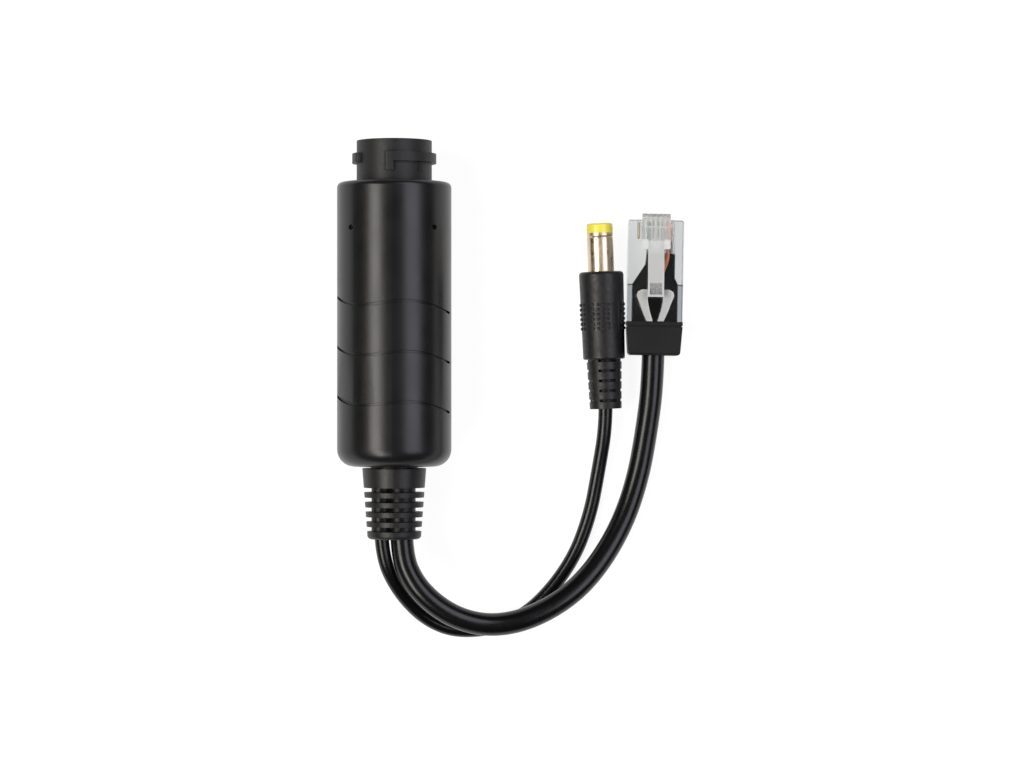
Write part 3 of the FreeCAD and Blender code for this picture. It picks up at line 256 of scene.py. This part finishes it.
@dataclass(frozen=True)
class ClearPolycarbonate:
    """Clear moulded polycarbonate: sharp reflections and a grey that deepens where light travels far in it.

    The latch, its shoulders, the nose and the two guards come from an etched part of the mould, so they look
    frosted. A painted highlight lies on the latch's shoulders and along the rims of the lever and the guards;
    painted shade greys the side walls behind the step and darkens the step and the recess in the lever's tail.
    Places are in the plug's own millimetres: to the side from its middle, along from its rear end, and up.
    """

    name: str
    colour: str
    # painted shade: grey for the side walls behind the step
    wall_shade_colour: str
    frost_colour: str
    roughness: float
    frost_roughness: float
    origin_mm: tuple[float, float, float]
    lean_degrees: float
    body_colour: str = "#3c3f42"
    # painted shade: a dark line across the side walls at the step
    step_shade_colour: str = "#5a5c5e"
    # painted shade: dark patches on the floor of the recess in the lever's tail
    recess_shade_colour: str = "#1e2020"
    # painted highlight: near-white colour for the rims and the latch's shoulders
    painted_highlight_colour: str = "#f6f8f8"
    passed_light: str = "#ececec"
    ior: float = 1.585
    darkening_per_m: float = 42.0
    edge_mm: float = 0.3
    wave_mm: float = 3.0
    wave_depth_mm: float = 0.02
    etch_mm: float = 0.35
    etch_depth_mm: float = 0.03
    frost_clearness: float = 0.4
    # roughness and clearness of the painted highlight
    highlight_roughness: float = 0.2
    highlight_clearness: float = 0.15
    frost_above_mm: float = 6.66
    frost_rear_mm: float = 16.9
    root_frost: float = 0.35
    lever_extra_frost: float = 0.55
    nose_mm: float = 21.5
    nose_frost: float = 0.35
    shoulders_mm: tuple[float, float] = (15.1, 17.2)
    lever_half_mm: float = 1.675
    lever_low_mm: float = 9.2
    lever_rim_mm: float = 0.35
    recess_mm: tuple[float, float] = (5.55, 8.1)
    rim_mm: float = 0.3
    rim_turn_cosine: float = 0.985
    # share of painted highlight mixed in
    painted_highlight_strength: float = 0.65
    step_mm: float = 7.8
    step_line_mm: float = 0.2
    side_wall_mm: tuple[float, float] = (4.75, 6.75)
    rear_end_mm: float = -1.0

    def build(self) -> bpy.types.Material:
        """Build the material: clear and frosted plastic over a faint grey body, with painted shade and a painted
        highlight.
        """
        material, tree = blank_material(self.name)
        place = add_node(tree, "ShaderNodeTexCoord")
        local = add_node(tree, "ShaderNodeMapping", {"Vector": place.outputs["Object"]}, vector_type="TEXTURE")
        local.inputs["Location"].default_value = [value * MM for value in self.origin_mm]
        local.inputs["Rotation"].default_value = (0.0, 0.0, math.radians(self.lean_degrees))
        parts = add_node(tree, "ShaderNodeSeparateXYZ", {0: local.outputs["Vector"]})
        side = calculate(tree, "ABSOLUTE", parts.outputs["X"])
        along, up = parts.outputs["Y"], parts.outputs["Z"]
        # the clear plastic's colour carries painted shade on the side walls and at the step
        clear = self._clear(tree, place, self._painted_wall_shade(tree, side, along))
        # the frosted plastic carries painted shade in the recess
        frosted = self._frosted(tree, place, self._recess_shade_mask(tree, side, along, up))
        # near-white shader that stands in for light: a painted highlight
        highlight_shader = self._painted_highlight(tree)
        surface = add_node(tree, "ShaderNodeMixShader",
                           {0: self._frost_mask(tree, along, up), 1: clear, 2: frosted})
        # the painted highlight goes over the rims and the latch's shoulders
        lit = add_node(tree, "ShaderNodeMixShader",
                       {0: self._painted_highlight_mask(tree, side, along, up), 1: surface.outputs[0], 2: highlight_shader})
        inside = add_node(tree, "ShaderNodeVolumeAbsorption", Density=self.darkening_per_m)
        inside.inputs["Color"].default_value = linear(self.body_colour)
        add_node(tree, "ShaderNodeOutputMaterial", {"Surface": lit.outputs[0], "Volume": inside.outputs[0]})
        return material

    def _between(self, tree: bpy.types.NodeTree, value: bpy.types.NodeSocket, low_mm: float,
                 high_mm: float) -> bpy.types.NodeSocket:
        """Give 1 where a place in metres lies between two limits in millimetres, and 0 elsewhere."""
        return calculate(tree, "COMPARE", value, (low_mm + high_mm) / 2 * MM, (high_mm - low_mm) / 2 * MM)

    def _painted_wall_shade(self, tree: bpy.types.NodeTree, side: bpy.types.NodeSocket,
                   along: bpy.types.NodeSocket) -> bpy.types.NodeSocket:
        """Give the clear plastic's colour with painted shade: greyer in the side walls behind the step and a dark line
        at the step.
        """
        walls = self._between(tree, side, *self.side_wall_mm)
        # painted shade on the side walls behind the step
        rear = calculate(tree, "MULTIPLY", walls, self._between(tree, along, self.rear_end_mm, self.step_mm))
        low, high = self.step_mm - self.step_line_mm / 2, self.step_mm + self.step_line_mm / 2
        # painted shade line across the side walls at the step
        step = calculate(tree, "MULTIPLY", walls, self._between(tree, along, low, high))
        return mix_colours(tree, step, mix_colours(tree, rear, self.colour, self.wall_shade_colour), self.step_shade_colour)

    def _clear(self, tree: bpy.types.NodeTree, place: bpy.types.Node,
               tint: bpy.types.NodeSocket) -> bpy.types.NodeSocket:
        """Add the polished plastic, a little wavy and with rounded edges, which lets lamp light through."""
        waves = noise(tree, place, self.wave_mm, 0.0)
        edge = add_node(tree, "ShaderNodeBevel", samples=EDGE_SAMPLES, Radius=self.edge_mm * MM)
        bump = add_node(tree, "ShaderNodeBump", {"Height": waves, "Normal": edge.outputs["Normal"]},
                        Strength=1.0, Distance=self.wave_depth_mm * MM)
        clear = add_node(tree, "ShaderNodeBsdfPrincipled", {"Normal": bump.outputs["Normal"], "Base Color": tint},
                         Roughness=self.roughness, IOR=self.ior)
        clear.inputs["Transmission Weight"].default_value = 1.0
        lamp_light = add_node(tree, "ShaderNodeBsdfTransparent", Color=linear(self.passed_light))
        path = add_node(tree, "ShaderNodeLightPath")
        passing = add_node(tree, "ShaderNodeMixShader",
                           {0: path.outputs["Is Shadow Ray"], 1: clear.outputs["BSDF"], 2: lamp_light.outputs["BSDF"]})
        return passing.outputs[0]

    def _frosted(self, tree: bpy.types.NodeTree, place: bpy.types.Node,
                 recess: bpy.types.NodeSocket) -> bpy.types.NodeSocket:
        """Add the etched plastic, which scatters over half of the light and is coarser and darker in the recess, where
        the dark patches are painted shade.
        """
        etch = noise(tree, place, self.etch_mm, 3.0)
        etching = add_node(tree, "ShaderNodeBump", {"Height": etch}, Strength=1.0, Distance=self.etch_depth_mm * MM)
        # painted shade: dark patches where the recess mask meets the etch noise
        patches = calculate(tree, "MULTIPLY", recess, etch)
        tint = mix_colours(tree, patches, self.frost_colour, self.recess_shade_colour)
        frosted = add_node(tree, "ShaderNodeBsdfPrincipled", {"Normal": etching.outputs["Normal"], "Base Color": tint},
                           Roughness=self.frost_roughness, IOR=self.ior)
        frosted.inputs["Transmission Weight"].default_value = self.frost_clearness
        return frosted.outputs["BSDF"]

    def _painted_highlight(self, tree: bpy.types.NodeTree) -> bpy.types.NodeSocket:
        """Add a painted highlight: a near-white, slightly clear shader that stands in for light gathering in a rim or
        shoulder.
        """
        highlight_shader = add_node(tree, "ShaderNodeBsdfPrincipled", Roughness=self.highlight_roughness, IOR=self.ior)
        highlight_shader.inputs["Base Color"].default_value = linear(self.painted_highlight_colour)
        highlight_shader.inputs["Transmission Weight"].default_value = self.highlight_clearness
        return highlight_shader.outputs["BSDF"]

    def _frost_mask(self, tree: bpy.types.NodeTree, along: bpy.types.NodeSocket,
                    up: bpy.types.NodeSocket) -> bpy.types.NodeSocket:
        """Give how frosted a place is: most on the lever and the guards, less on the latch's root and the nose."""
        raised = calculate(tree, "GREATER_THAN", up, self.frost_above_mm * MM)
        behind = calculate(tree, "LESS_THAN", along, self.frost_rear_mm * MM)
        amount = calculate(tree, "MULTIPLY_ADD", behind, self.lever_extra_frost, self.root_frost)
        nose = calculate(tree, "GREATER_THAN", along, self.nose_mm * MM)
        return calculate(tree, "MAXIMUM", calculate(tree, "MULTIPLY", raised, amount),
                         calculate(tree, "MULTIPLY", nose, self.nose_frost))

    def _edge_mask(self, tree: bpy.types.NodeTree) -> bpy.types.NodeSocket:
        """Give 1 next to an edge, where a bevelled normal turns away from the face's own."""
        face = add_node(tree, "ShaderNodeNewGeometry")
        edge = add_node(tree, "ShaderNodeBevel", samples=EDGE_SAMPLES, Radius=self.rim_mm * MM)
        turned = add_node(tree, "ShaderNodeVectorMath",
                          {0: face.outputs["True Normal"], 1: edge.outputs["Normal"]}, operation="DOT_PRODUCT")
        return calculate(tree, "LESS_THAN", turned.outputs["Value"], self.rim_turn_cosine)

    def _painted_highlight_mask(self, tree: bpy.types.NodeTree, side: bpy.types.NodeSocket, along: bpy.types.NodeSocket,
                  up: bpy.types.NodeSocket) -> bpy.types.NodeSocket:
        """Give where the highlight is painted: the shoulders of the latch and the rims of its lever and of the guards.
        """
        # painted highlight along the rims
        rims = calculate(tree, "MULTIPLY", self._edge_mask(tree),
                         self._between(tree, along, self.rim_mm, self.shoulders_mm[0]))
        # painted highlight on the latch's shoulders
        wings = calculate(tree, "MULTIPLY", self._between(tree, along, *self.shoulders_mm),
                          calculate(tree, "GREATER_THAN", side, self.lever_half_mm * MM))
        raised = calculate(tree, "GREATER_THAN", up, self.frost_above_mm * MM)
        lit = calculate(tree, "MULTIPLY", calculate(tree, "MAXIMUM", rims, wings), raised)
        return calculate(tree, "MULTIPLY", lit, self.painted_highlight_strength)

    def _recess_shade_mask(self, tree: bpy.types.NodeTree, side: bpy.types.NodeSocket, along: bpy.types.NodeSocket,
                     up: bpy.types.NodeSocket) -> bpy.types.NodeSocket:
        """Give 1 on the floor of the recess in the lever's tail, where painted shade goes."""
        floor = calculate(tree, "MULTIPLY", self._between(tree, along, *self.recess_mm),
                          calculate(tree, "LESS_THAN", side, (self.lever_half_mm - self.lever_rim_mm) * MM))
        return calculate(tree, "MULTIPLY", floor, calculate(tree, "GREATER_THAN", up, self.lever_low_mm * MM))


class Finish(Enum):
    """The finishes of the splitter's pieces."""

    HOUSING = MouldedPlastic("black_abs_satin_moulded", "#111112", "#151516", 0.31, 0.3, 0.003, specular=0.41)
    COLLAR = MouldedPlastic("black_nylon_matte_moulded", "#151516", "#1b1b1c", 0.50, 0.5, 0.012, specular=0.41,
                            speckle=0.25)
    BOOT = MouldedPlastic("black_pvc_matte_moulded", "#111112", "#161617", 0.44, 0.5, 0.012, specular=0.41, speckle=0.3)
    GRIP = MouldedPlastic("black_pvc_grip_moulded", "#121213", "#171718", 0.44, 0.7, 0.035, specular=0.41, speckle=0.6)
    JACKET = MouldedPlastic("black_pvc_jacket_extruded", "#0a0a0b", "#0e0e0f", 0.25, 0.8, 0.003, specular=0.38)
    PLUG_BOOT = MouldedPlastic("black_pvc_overmould", "#131314", "#191a1a", 0.48, 0.5, 0.02, specular=0.28,
                               speckle=0.3)
    YELLOW = MouldedPlastic("yellow_acetal_moulded", "#fdf25c", "#f8ea4e", 0.3, 0.3, 0.004)
    CORE = MouldedPlastic("natural_nylon_moulded", "#d8d2c0", "#cfc8b4", 0.4, 0.3, 0.006)
    CARRIER = MouldedPlastic("black_pbt_moulded", "#0c0c0d", "#121213", 0.4, 0.2, 0.01)
    LAMINATE = MouldedPlastic("green_glass_laminate", "#1a5a33", "#17502d", 0.3, 0.6, 0.01)
    CHIP = MouldedPlastic("black_epoxy_moulded", "#141414", "#1a1a1a", 0.5, 0.2, 0.01)
    FERRITE = MouldedPlastic("grey_ferrite_sintered", "#2c2c2e", "#353537", 0.6, 0.2, 0.02)
    POTTING = MouldedPlastic("black_epoxy_cast", "#0e0e0e", "#121212", 0.25, 0.8, 0.01)
    LEADS = MouldedPlastic("grey_polythene_extruded", "#a0a0a2", "#98989a", 0.35, 0.5, 0.005)
    ORANGE = MouldedPlastic("orange_polythene_extruded", "#ffa47c", "#ff9a6c", 0.35, 0.5, 0.005)
    WHITE = MouldedPlastic("white_polythene_extruded", "#eceae6", "#e2e0da", 0.35, 0.5, 0.005)
    GREEN = MouldedPlastic("green_polythene_extruded", "#38a06a", "#2f9260", 0.35, 0.5, 0.005)
    NICKEL = PlatedMetal("nickel_plated_brass_turned", "#dccbb0", 0.32, 0.12, 0.002)
    GILT = PlatedMetal("gold_plated_bronze_stamped", "#f2dcb4", 0.45, 0.2, 0.002)
    COPPER = PlatedMetal("enamelled_copper_wire", "#b8683c", 0.3, 0.35, 0.05)
    CAN = PlatedMetal("aluminium_can_drawn", "#d8d8da", 0.25, 0.2, 0.002)
    # the third colour is painted shade for the side walls behind the step
    CLEAR = ClearPolycarbonate("clear_polycarbonate_moulded", "#f0f2f2", "#c2c6ca", "#f0f2f0", 0.04, 0.4,
                               (54.44, 3.93, 0.0), -1.1)

    def material(self) -> bpy.types.Material:
        """Return the finish's material, built on first use."""
        return bpy.data.materials.get(self.value.name) or self.value.build()


SLOT_FINISHES = {
    "housing_plastic": Finish.HOUSING,
    "collar_plastic": Finish.COLLAR,
    "carrier_plastic": Finish.CARRIER,
    "gilt_contact": Finish.GILT,
    "board_laminate": Finish.LAMINATE,
    "chip_plastic": Finish.CHIP,
    "ferrite": Finish.FERRITE,
    "copper": Finish.COPPER,
    "capacitor_can": Finish.CAN,
    "lead_insulation": Finish.LEADS,
    "potting_compound": Finish.POTTING,
    "boot_plastic": Finish.BOOT,
    "cable_jacket": Finish.JACKET,
    "plug_grip_plastic": Finish.GRIP,
    "nickel": Finish.NICKEL,
    "yellow_plastic": Finish.YELLOW,
    "core_insulation": Finish.CORE,
    "clear_plastic": Finish.CLEAR,
    "plug_boot_plastic": Finish.PLUG_BOOT,
    "orange_insulation": Finish.ORANGE,
    "white_insulation": Finish.WHITE,
    "green_insulation": Finish.GREEN,
}


@dataclass(frozen=True)
class Lamp:
    """A long soft lamp: its place and its size along X and Y in metres, its power and its colour."""

    name: str
    place_m: tuple[float, float, float]
    size_m: tuple[float, float]
    watts: float
    colour: str
    target_m: tuple[float, float, float] = (0.02, -0.01, 0.01)

    def build(self) -> None:
        """Hang the lamp so that it faces the object."""
        data = bpy.data.lights.new(self.name, "AREA")
        data.shape = "RECTANGLE"
        data.size, data.size_y = self.size_m
        data.energy = self.watts
        data.color = linear(self.colour)[:3]
        lamp = bpy.data.objects.new(self.name, data)
        lamp.location = self.place_m
        lamp.rotation_euler = (Vector(self.target_m) - lamp.location).to_track_quat("-Z", "X").to_euler()
        bpy.context.scene.collection.objects.link(lamp)


@dataclass(frozen=True)
class Studio:
    """A white table under a warm lamp on the left and a cool, broader one on the right, seen from above."""

    camera_mm: tuple[float, float, float] = (24.5, -9.15, 600.0)
    focal_px: float = 2826.0
    picture_px: float = 1024.0
    sensor_mm: float = 36.0
    clip_m: tuple[float, float] = (0.01, 10.0)
    floor_half_m: float = 3.0
    floor_drop_m: float = 0.00005
    floor_colour: str = "#7c7c7c"
    floor_glow: float = 0.9
    room_light: tuple[float, float] = (0.025, 0.055)
    room_light_height: float = 0.6
    lamps: tuple[Lamp, ...] = (
        Lamp("left_lamp", (-0.59, -0.20, 0.92), (0.40, 1.2), 12.0, "#fffaf2"),
        Lamp("right_lamp", (0.66, 0.18, 0.86), (0.60, 1.2), 7.0, "#f3f3ff"),
    )

    def build(self) -> None:
        """Build the camera, floor, lamps and surroundings."""
        self._camera()
        self._floor()
        for lamp in self.lamps:
            lamp.build()
        self._surroundings()

    def _camera(self) -> None:
        """Put the camera straight above, with the photograph's framing."""
        data = bpy.data.cameras.new("camera")
        data.sensor_width = self.sensor_mm
        data.lens = self.focal_px / self.picture_px * data.sensor_width
        data.clip_start, data.clip_end = self.clip_m
        camera = bpy.data.objects.new("camera", data)
        camera.location = [value * MM for value in self.camera_mm]
        bpy.context.scene.collection.objects.link(camera)
        bpy.context.scene.camera = camera

    def _floor(self) -> None:
        """Lay the white table, which the camera sees as white with the object's shadow on it."""
        half = self.floor_half_m
        mesh = bpy.data.meshes.new("floor")
        mesh.from_pydata([(-half, -half, 0), (half, -half, 0), (half, half, 0), (-half, half, 0)], [], [(0, 1, 2, 3)])
        floor = bpy.data.objects.new("floor", mesh)
        floor.location.z = -self.floor_drop_m
        bpy.context.scene.collection.objects.link(floor)
        material, tree = blank_material("white_table")
        diffuse = add_node(tree, "ShaderNodeBsdfDiffuse", Color=linear(self.floor_colour))
        path = add_node(tree, "ShaderNodeLightPath")
        seen = calculate(tree, "MAXIMUM", path.outputs["Is Camera Ray"], path.outputs["Is Glossy Ray"])
        shown = calculate(tree, "MAXIMUM", seen, path.outputs["Is Transmission Ray"])
        strength = calculate(tree, "MULTIPLY", shown, self.floor_glow)
        glow = add_node(tree, "ShaderNodeEmission", {"Strength": strength})
        both = add_node(tree, "ShaderNodeAddShader", {0: diffuse.outputs[0], 1: glow.outputs[0]})
        add_node(tree, "ShaderNodeOutputMaterial", {"Surface": both.outputs[0]})
        mesh.materials.append(material)

    def _surroundings(self) -> None:
        """Light the room faintly, a little more from above, and show it white to the camera."""
        world = bpy.data.worlds.new("room")
        world.use_nodes = True
        tree = world.node_tree
        tree.nodes.clear()
        place = add_node(tree, "ShaderNodeTexCoord")
        parts = add_node(tree, "ShaderNodeSeparateXYZ", {0: place.outputs["Generated"]})
        height = add_node(tree, "ShaderNodeMapRange", {"Value": parts.outputs["Z"]}, From_Min=0.0,
                          From_Max=self.room_light_height, To_Min=self.room_light[0], To_Max=self.room_light[1])
        path = add_node(tree, "ShaderNodeLightPath")
        strength = add_node(tree, "ShaderNodeMix", {0: path.outputs["Is Camera Ray"], 2: height.outputs["Result"]})
        strength.inputs[3].default_value = 1.0
        sky = add_node(tree, "ShaderNodeBackground", {"Strength": strength.outputs[0]})
        add_node(tree, "ShaderNodeOutputWorld", {"Surface": sky.outputs[0]})
        bpy.context.scene.world = world
        bpy.context.scene.view_settings.view_transform = "Standard"


@dataclass(frozen=True)
class Lead:
    """A free cable from the strain relief to its plug, round in section."""

    name: str
    node: str
    route_mm: list[tuple[float, float, float]]
    diameter_mm: float
    exit_mm: tuple[float, float, float]
    length_mm: float
    on_it: list[str]
    smoothness: int = 16
    section_smoothness: int = 8

    def build(self) -> bpy.types.Object:
        """Returns:
            The cable.
        """
        data = bpy.data.curves.new(self.name, "CURVE")
        data.dimensions = "3D"
        data.resolution_u = self.smoothness
        data.bevel_depth = self.diameter_mm / 2 * MM
        data.bevel_resolution = self.section_smoothness
        data.use_fill_caps = True
        spline = data.splines.new("NURBS")
        spline.points.add(len(self.route_mm) - 1)
        for point, place in zip(spline.points, self.route_mm):
            point.co = (*[value * MM for value in place], 1.0)
        spline.order_u = 3
        spline.use_endpoint_u = True
        data.materials.append(Finish.JACKET.material())
        cable = bpy.data.objects.new(self.name, data)
        bpy.context.scene.collection.objects.link(cable)
        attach(cable, "root")
        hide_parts(self.node)
        return cable


@dataclass(frozen=True)
class BarrelPlugPose:
    """Where the barrel plug lies: its grip is a slight cone that rests along its side."""

    front_mm: tuple[float, float] = (43.27, 14.5)
    lean_degrees: float = 2.0
    front_radius_mm: float = 4.7
    rear_radius_mm: float = 4.4
    length_mm: float = 18.45

    @property
    def taper(self) -> float:
        """Return the angle of the cone's side in radians."""
        return math.atan((self.front_radius_mm - self.rear_radius_mm) / self.length_mm)

    def radius_mm(self, behind_mm: float) -> float:
        """Return the grip's radius at a distance behind its front face."""
        return self.front_radius_mm + (self.rear_radius_mm - self.front_radius_mm) * behind_mm / self.length_mm

    def point(self, turn: float, behind_mm: float, out_mm: float) -> Vector:
        """Give a place on the grip in the frame.

        Args:
            turn: angle from the top towards the right, in radians.
            behind_mm: distance behind the grip's front face.
            out_mm: distance from the plug's axis.

        Returns:
            The place in metres.
        """
        flat = Vector((out_mm * math.sin(turn), -behind_mm, out_mm * math.cos(turn)))
        flat.rotate(Euler((self.taper, 0.0, math.radians(self.lean_degrees))))
        up = self.front_radius_mm * math.cos(self.taper)
        return (flat + Vector((*self.front_mm, up))) * MM


STUD_PROFILE = ((1.0, -0.25), (1.0, 0.25), (0.86, 0.65), (0.5, 0.92))  # shares of its radius and height
RIDGE_PROFILE = ((-1.0, -1.0), (-0.5, 1.0), (0.5, 1.0), (1.0, -1.0))  # shares of its half width and height


@dataclass(frozen=True)
class GripStuds:
    """Rows of small studs in patches round the barrel plug's grip, with two parting ridges between patches.

    The studs that would press into the table are left out.
    """

    pose: BarrelPlugPose
    patches: int = 4
    rows: int = 6
    columns: int = 5
    first_row_mm: float = 6.95
    row_pitch_mm: float = 1.0
    column_pitch_degrees: float = 14.0
    patch_turn_degrees: float = 0.5
    stud_radius_mm: float = 0.34
    stud_height_mm: float = 0.22
    segments: int = 12
    ridge_turns_degrees: tuple[float, float] = (45.0, 225.0)
    ridge_half_mm: float = 0.09
    ridge_height_mm: float = 0.06
    ridge_overrun_mm: float = 0.6

    def build(self) -> bpy.types.Object:
        """Build all the studs and the ridges as one piece.

        Returns:
            The piece.
        """
        mesh = bmesh.new()
        for patch in range(self.patches):
            middle = self.patch_turn_degrees + 360 / self.patches * patch
            for column in range(self.columns):
                turn = math.radians(middle + self.column_pitch_degrees * (column - (self.columns - 1) / 2))
                for row in range(self.rows):
                    self._stud(mesh, turn, self.first_row_mm + self.row_pitch_mm * row)
        for turn_degrees in self.ridge_turns_degrees:
            self._ridge(mesh, math.radians(self.patch_turn_degrees + turn_degrees))
        data = bpy.data.meshes.new("grip_studs")
        mesh.to_mesh(data)
        mesh.free()
        data.materials.append(Finish.GRIP.material())
        data.shade_smooth()
        studs = bpy.data.objects.new("grip_studs", data)
        bpy.context.scene.collection.objects.link(studs)
        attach(studs, "root")
        return studs

    def _stud(self, mesh: bmesh.types.BMesh, turn: float, behind_mm: float) -> None:
        """Add one stud: a low cylinder with a domed top, sunk a little into the grip.

        Args:
            mesh: mesh that gets the stud.
            turn: the stud's angle from the top, in radians.
            behind_mm: its distance behind the grip's front face.
        """
        surface = self.pose.radius_mm(behind_mm)
        if self.pose.point(turn, behind_mm, surface + self.stud_height_mm).z < 0:
            return
        rings = []
        for width, height in STUD_PROFILE:
            ring = []
            for step in range(self.segments):
                angle = math.tau * step / self.segments
                across = self.stud_radius_mm * width * math.cos(angle) / surface
                back = self.stud_radius_mm * width * math.sin(angle)
                place = self.pose.point(turn + across, behind_mm + back, surface + self.stud_height_mm * height)
                ring.append(mesh.verts.new(place))
            rings.append(ring)
        for lower, upper in zip(rings, rings[1:]):
            for step in range(self.segments):
                following = (step + 1) % self.segments
                mesh.faces.new((lower[step], upper[step], upper[following], lower[following]))
        top = mesh.verts.new(self.pose.point(turn, behind_mm, surface + self.stud_height_mm))
        for step in range(self.segments):
            mesh.faces.new((rings[-1][step], top, rings[-1][(step + 1) % self.segments]))

    def _ridge(self, mesh: bmesh.types.BMesh, turn: float) -> None:
        """Add a thin ridge as the mould's parting line leaves it between two patches.

        Args:
            mesh: mesh that gets the ridge.
            turn: the ridge's angle from the top, in radians.
        """
        start = self.first_row_mm - self.ridge_overrun_mm
        end = self.first_row_mm + self.row_pitch_mm * (self.rows - 1) + self.ridge_overrun_mm
        ends = []
        for behind in (start, end):
            surface = self.pose.radius_mm(behind)
            ends.append([mesh.verts.new(self.pose.point(turn + self.ridge_half_mm * width / surface, behind,
                                                        surface + self.ridge_height_mm * height))
                         for width, height in RIDGE_PROFILE])
        for corner in range(len(RIDGE_PROFILE) - 1):
            mesh.faces.new((ends[0][corner], ends[0][corner + 1], ends[1][corner + 1], ends[1][corner]))


NETWORK_PLUG_NODES = ["plug_shell", "plug_boot"] + [f"plug_contact_{number}" for number in range(1, 9)] + [
    "conductor_orange", "conductor_white_orange", "conductor_white_green", "conductor_green"]
BARREL_PLUG_NODES = ["dc_plug_body", "dc_barrel", "dc_tip_insulator", "dc_core_insulator", "dc_centre_contact"]


def network_lead() -> Lead:
    """Describe the thick lead to the network plug."""
    route = [
        (1.5, -38.2, 11.9),
        (1.5, -44.5, 11.9),
        (3.8, -50.3, 12.3),
        (8.2, -55.05, 11.6),
        (13.8, -58.4, 10.6),
        (20.65, -59.75, 9.4),
        (28.3, -58.25, 8.6),
        (36.4, -53.8, 7.1),
        (42.4, -47.7, 5.3),
        (47.75, -38.85, 3.5),
        (51.1, -29.15, 2.6),
        (52.9, -19.2, 2.8),
        (54.19, -9.12, 3.6),
        (54.37, 0.38, 3.6),
    ]
    return Lead("network_lead", "network_cable", route, 4.8, (1.5, -38.2, 11.9), 108.5, NETWORK_PLUG_NODES)


def barrel_lead() -> Lead:
    """Describe the thin lead to the barrel plug."""
    route = [
        (-2.7, -38.2, 11.9),
        (-2.7, -44.8, 11.9),
        (0.65, -52.5, 8.5),
        (6.4, -58.9, 4.4),
        (13.25, -61.65, 2.0),
        (22.7, -60.45, 1.6),
        (30.1, -55.95, 1.55),
        (37.35, -46.7, 1.55),
        (41.05, -36.9, 1.6),
        (42.75, -27.6, 2.3),
        (44.38, -17.4, 4.18),
        (44.17, -11.33, 4.28),
    ]
    return Lead("barrel_lead", "dc_cable", route, 3.0, (-2.7, -38.2, 11.9), 98.5, BARREL_PLUG_NODES)


def dress_frame() -> int:
    """Give every CAD node the finish of its slot.

    Returns:
        How many nodes were dressed.
    """
    slots = {entry["node"]: entry["material_slot"] for entry in frame["record"]["subparts"]}
    for node, slot_name in slots.items():
        thing = bpy.data.objects[node]
        material = SLOT_FINISHES[slot_name].material()
        thing.data.materials.clear()
        thing.data.materials.append(material)
    return len(slots)


def main() -> None:
    """Build the scene piece by piece."""
    logging.basicConfig(level=logging.INFO, format="%(name)s: %(message)s")
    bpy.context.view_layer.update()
    Studio().build()
    LOG.info("dressed %d nodes", dress_frame())
    for lead in (network_lead(), barrel_lead()):
        LOG.info("built %s", lead.build().name)
    LOG.info("built %s", GripStuds(BarrelPlugPose()).build().name)


if __name__ == "__main__":
    main()
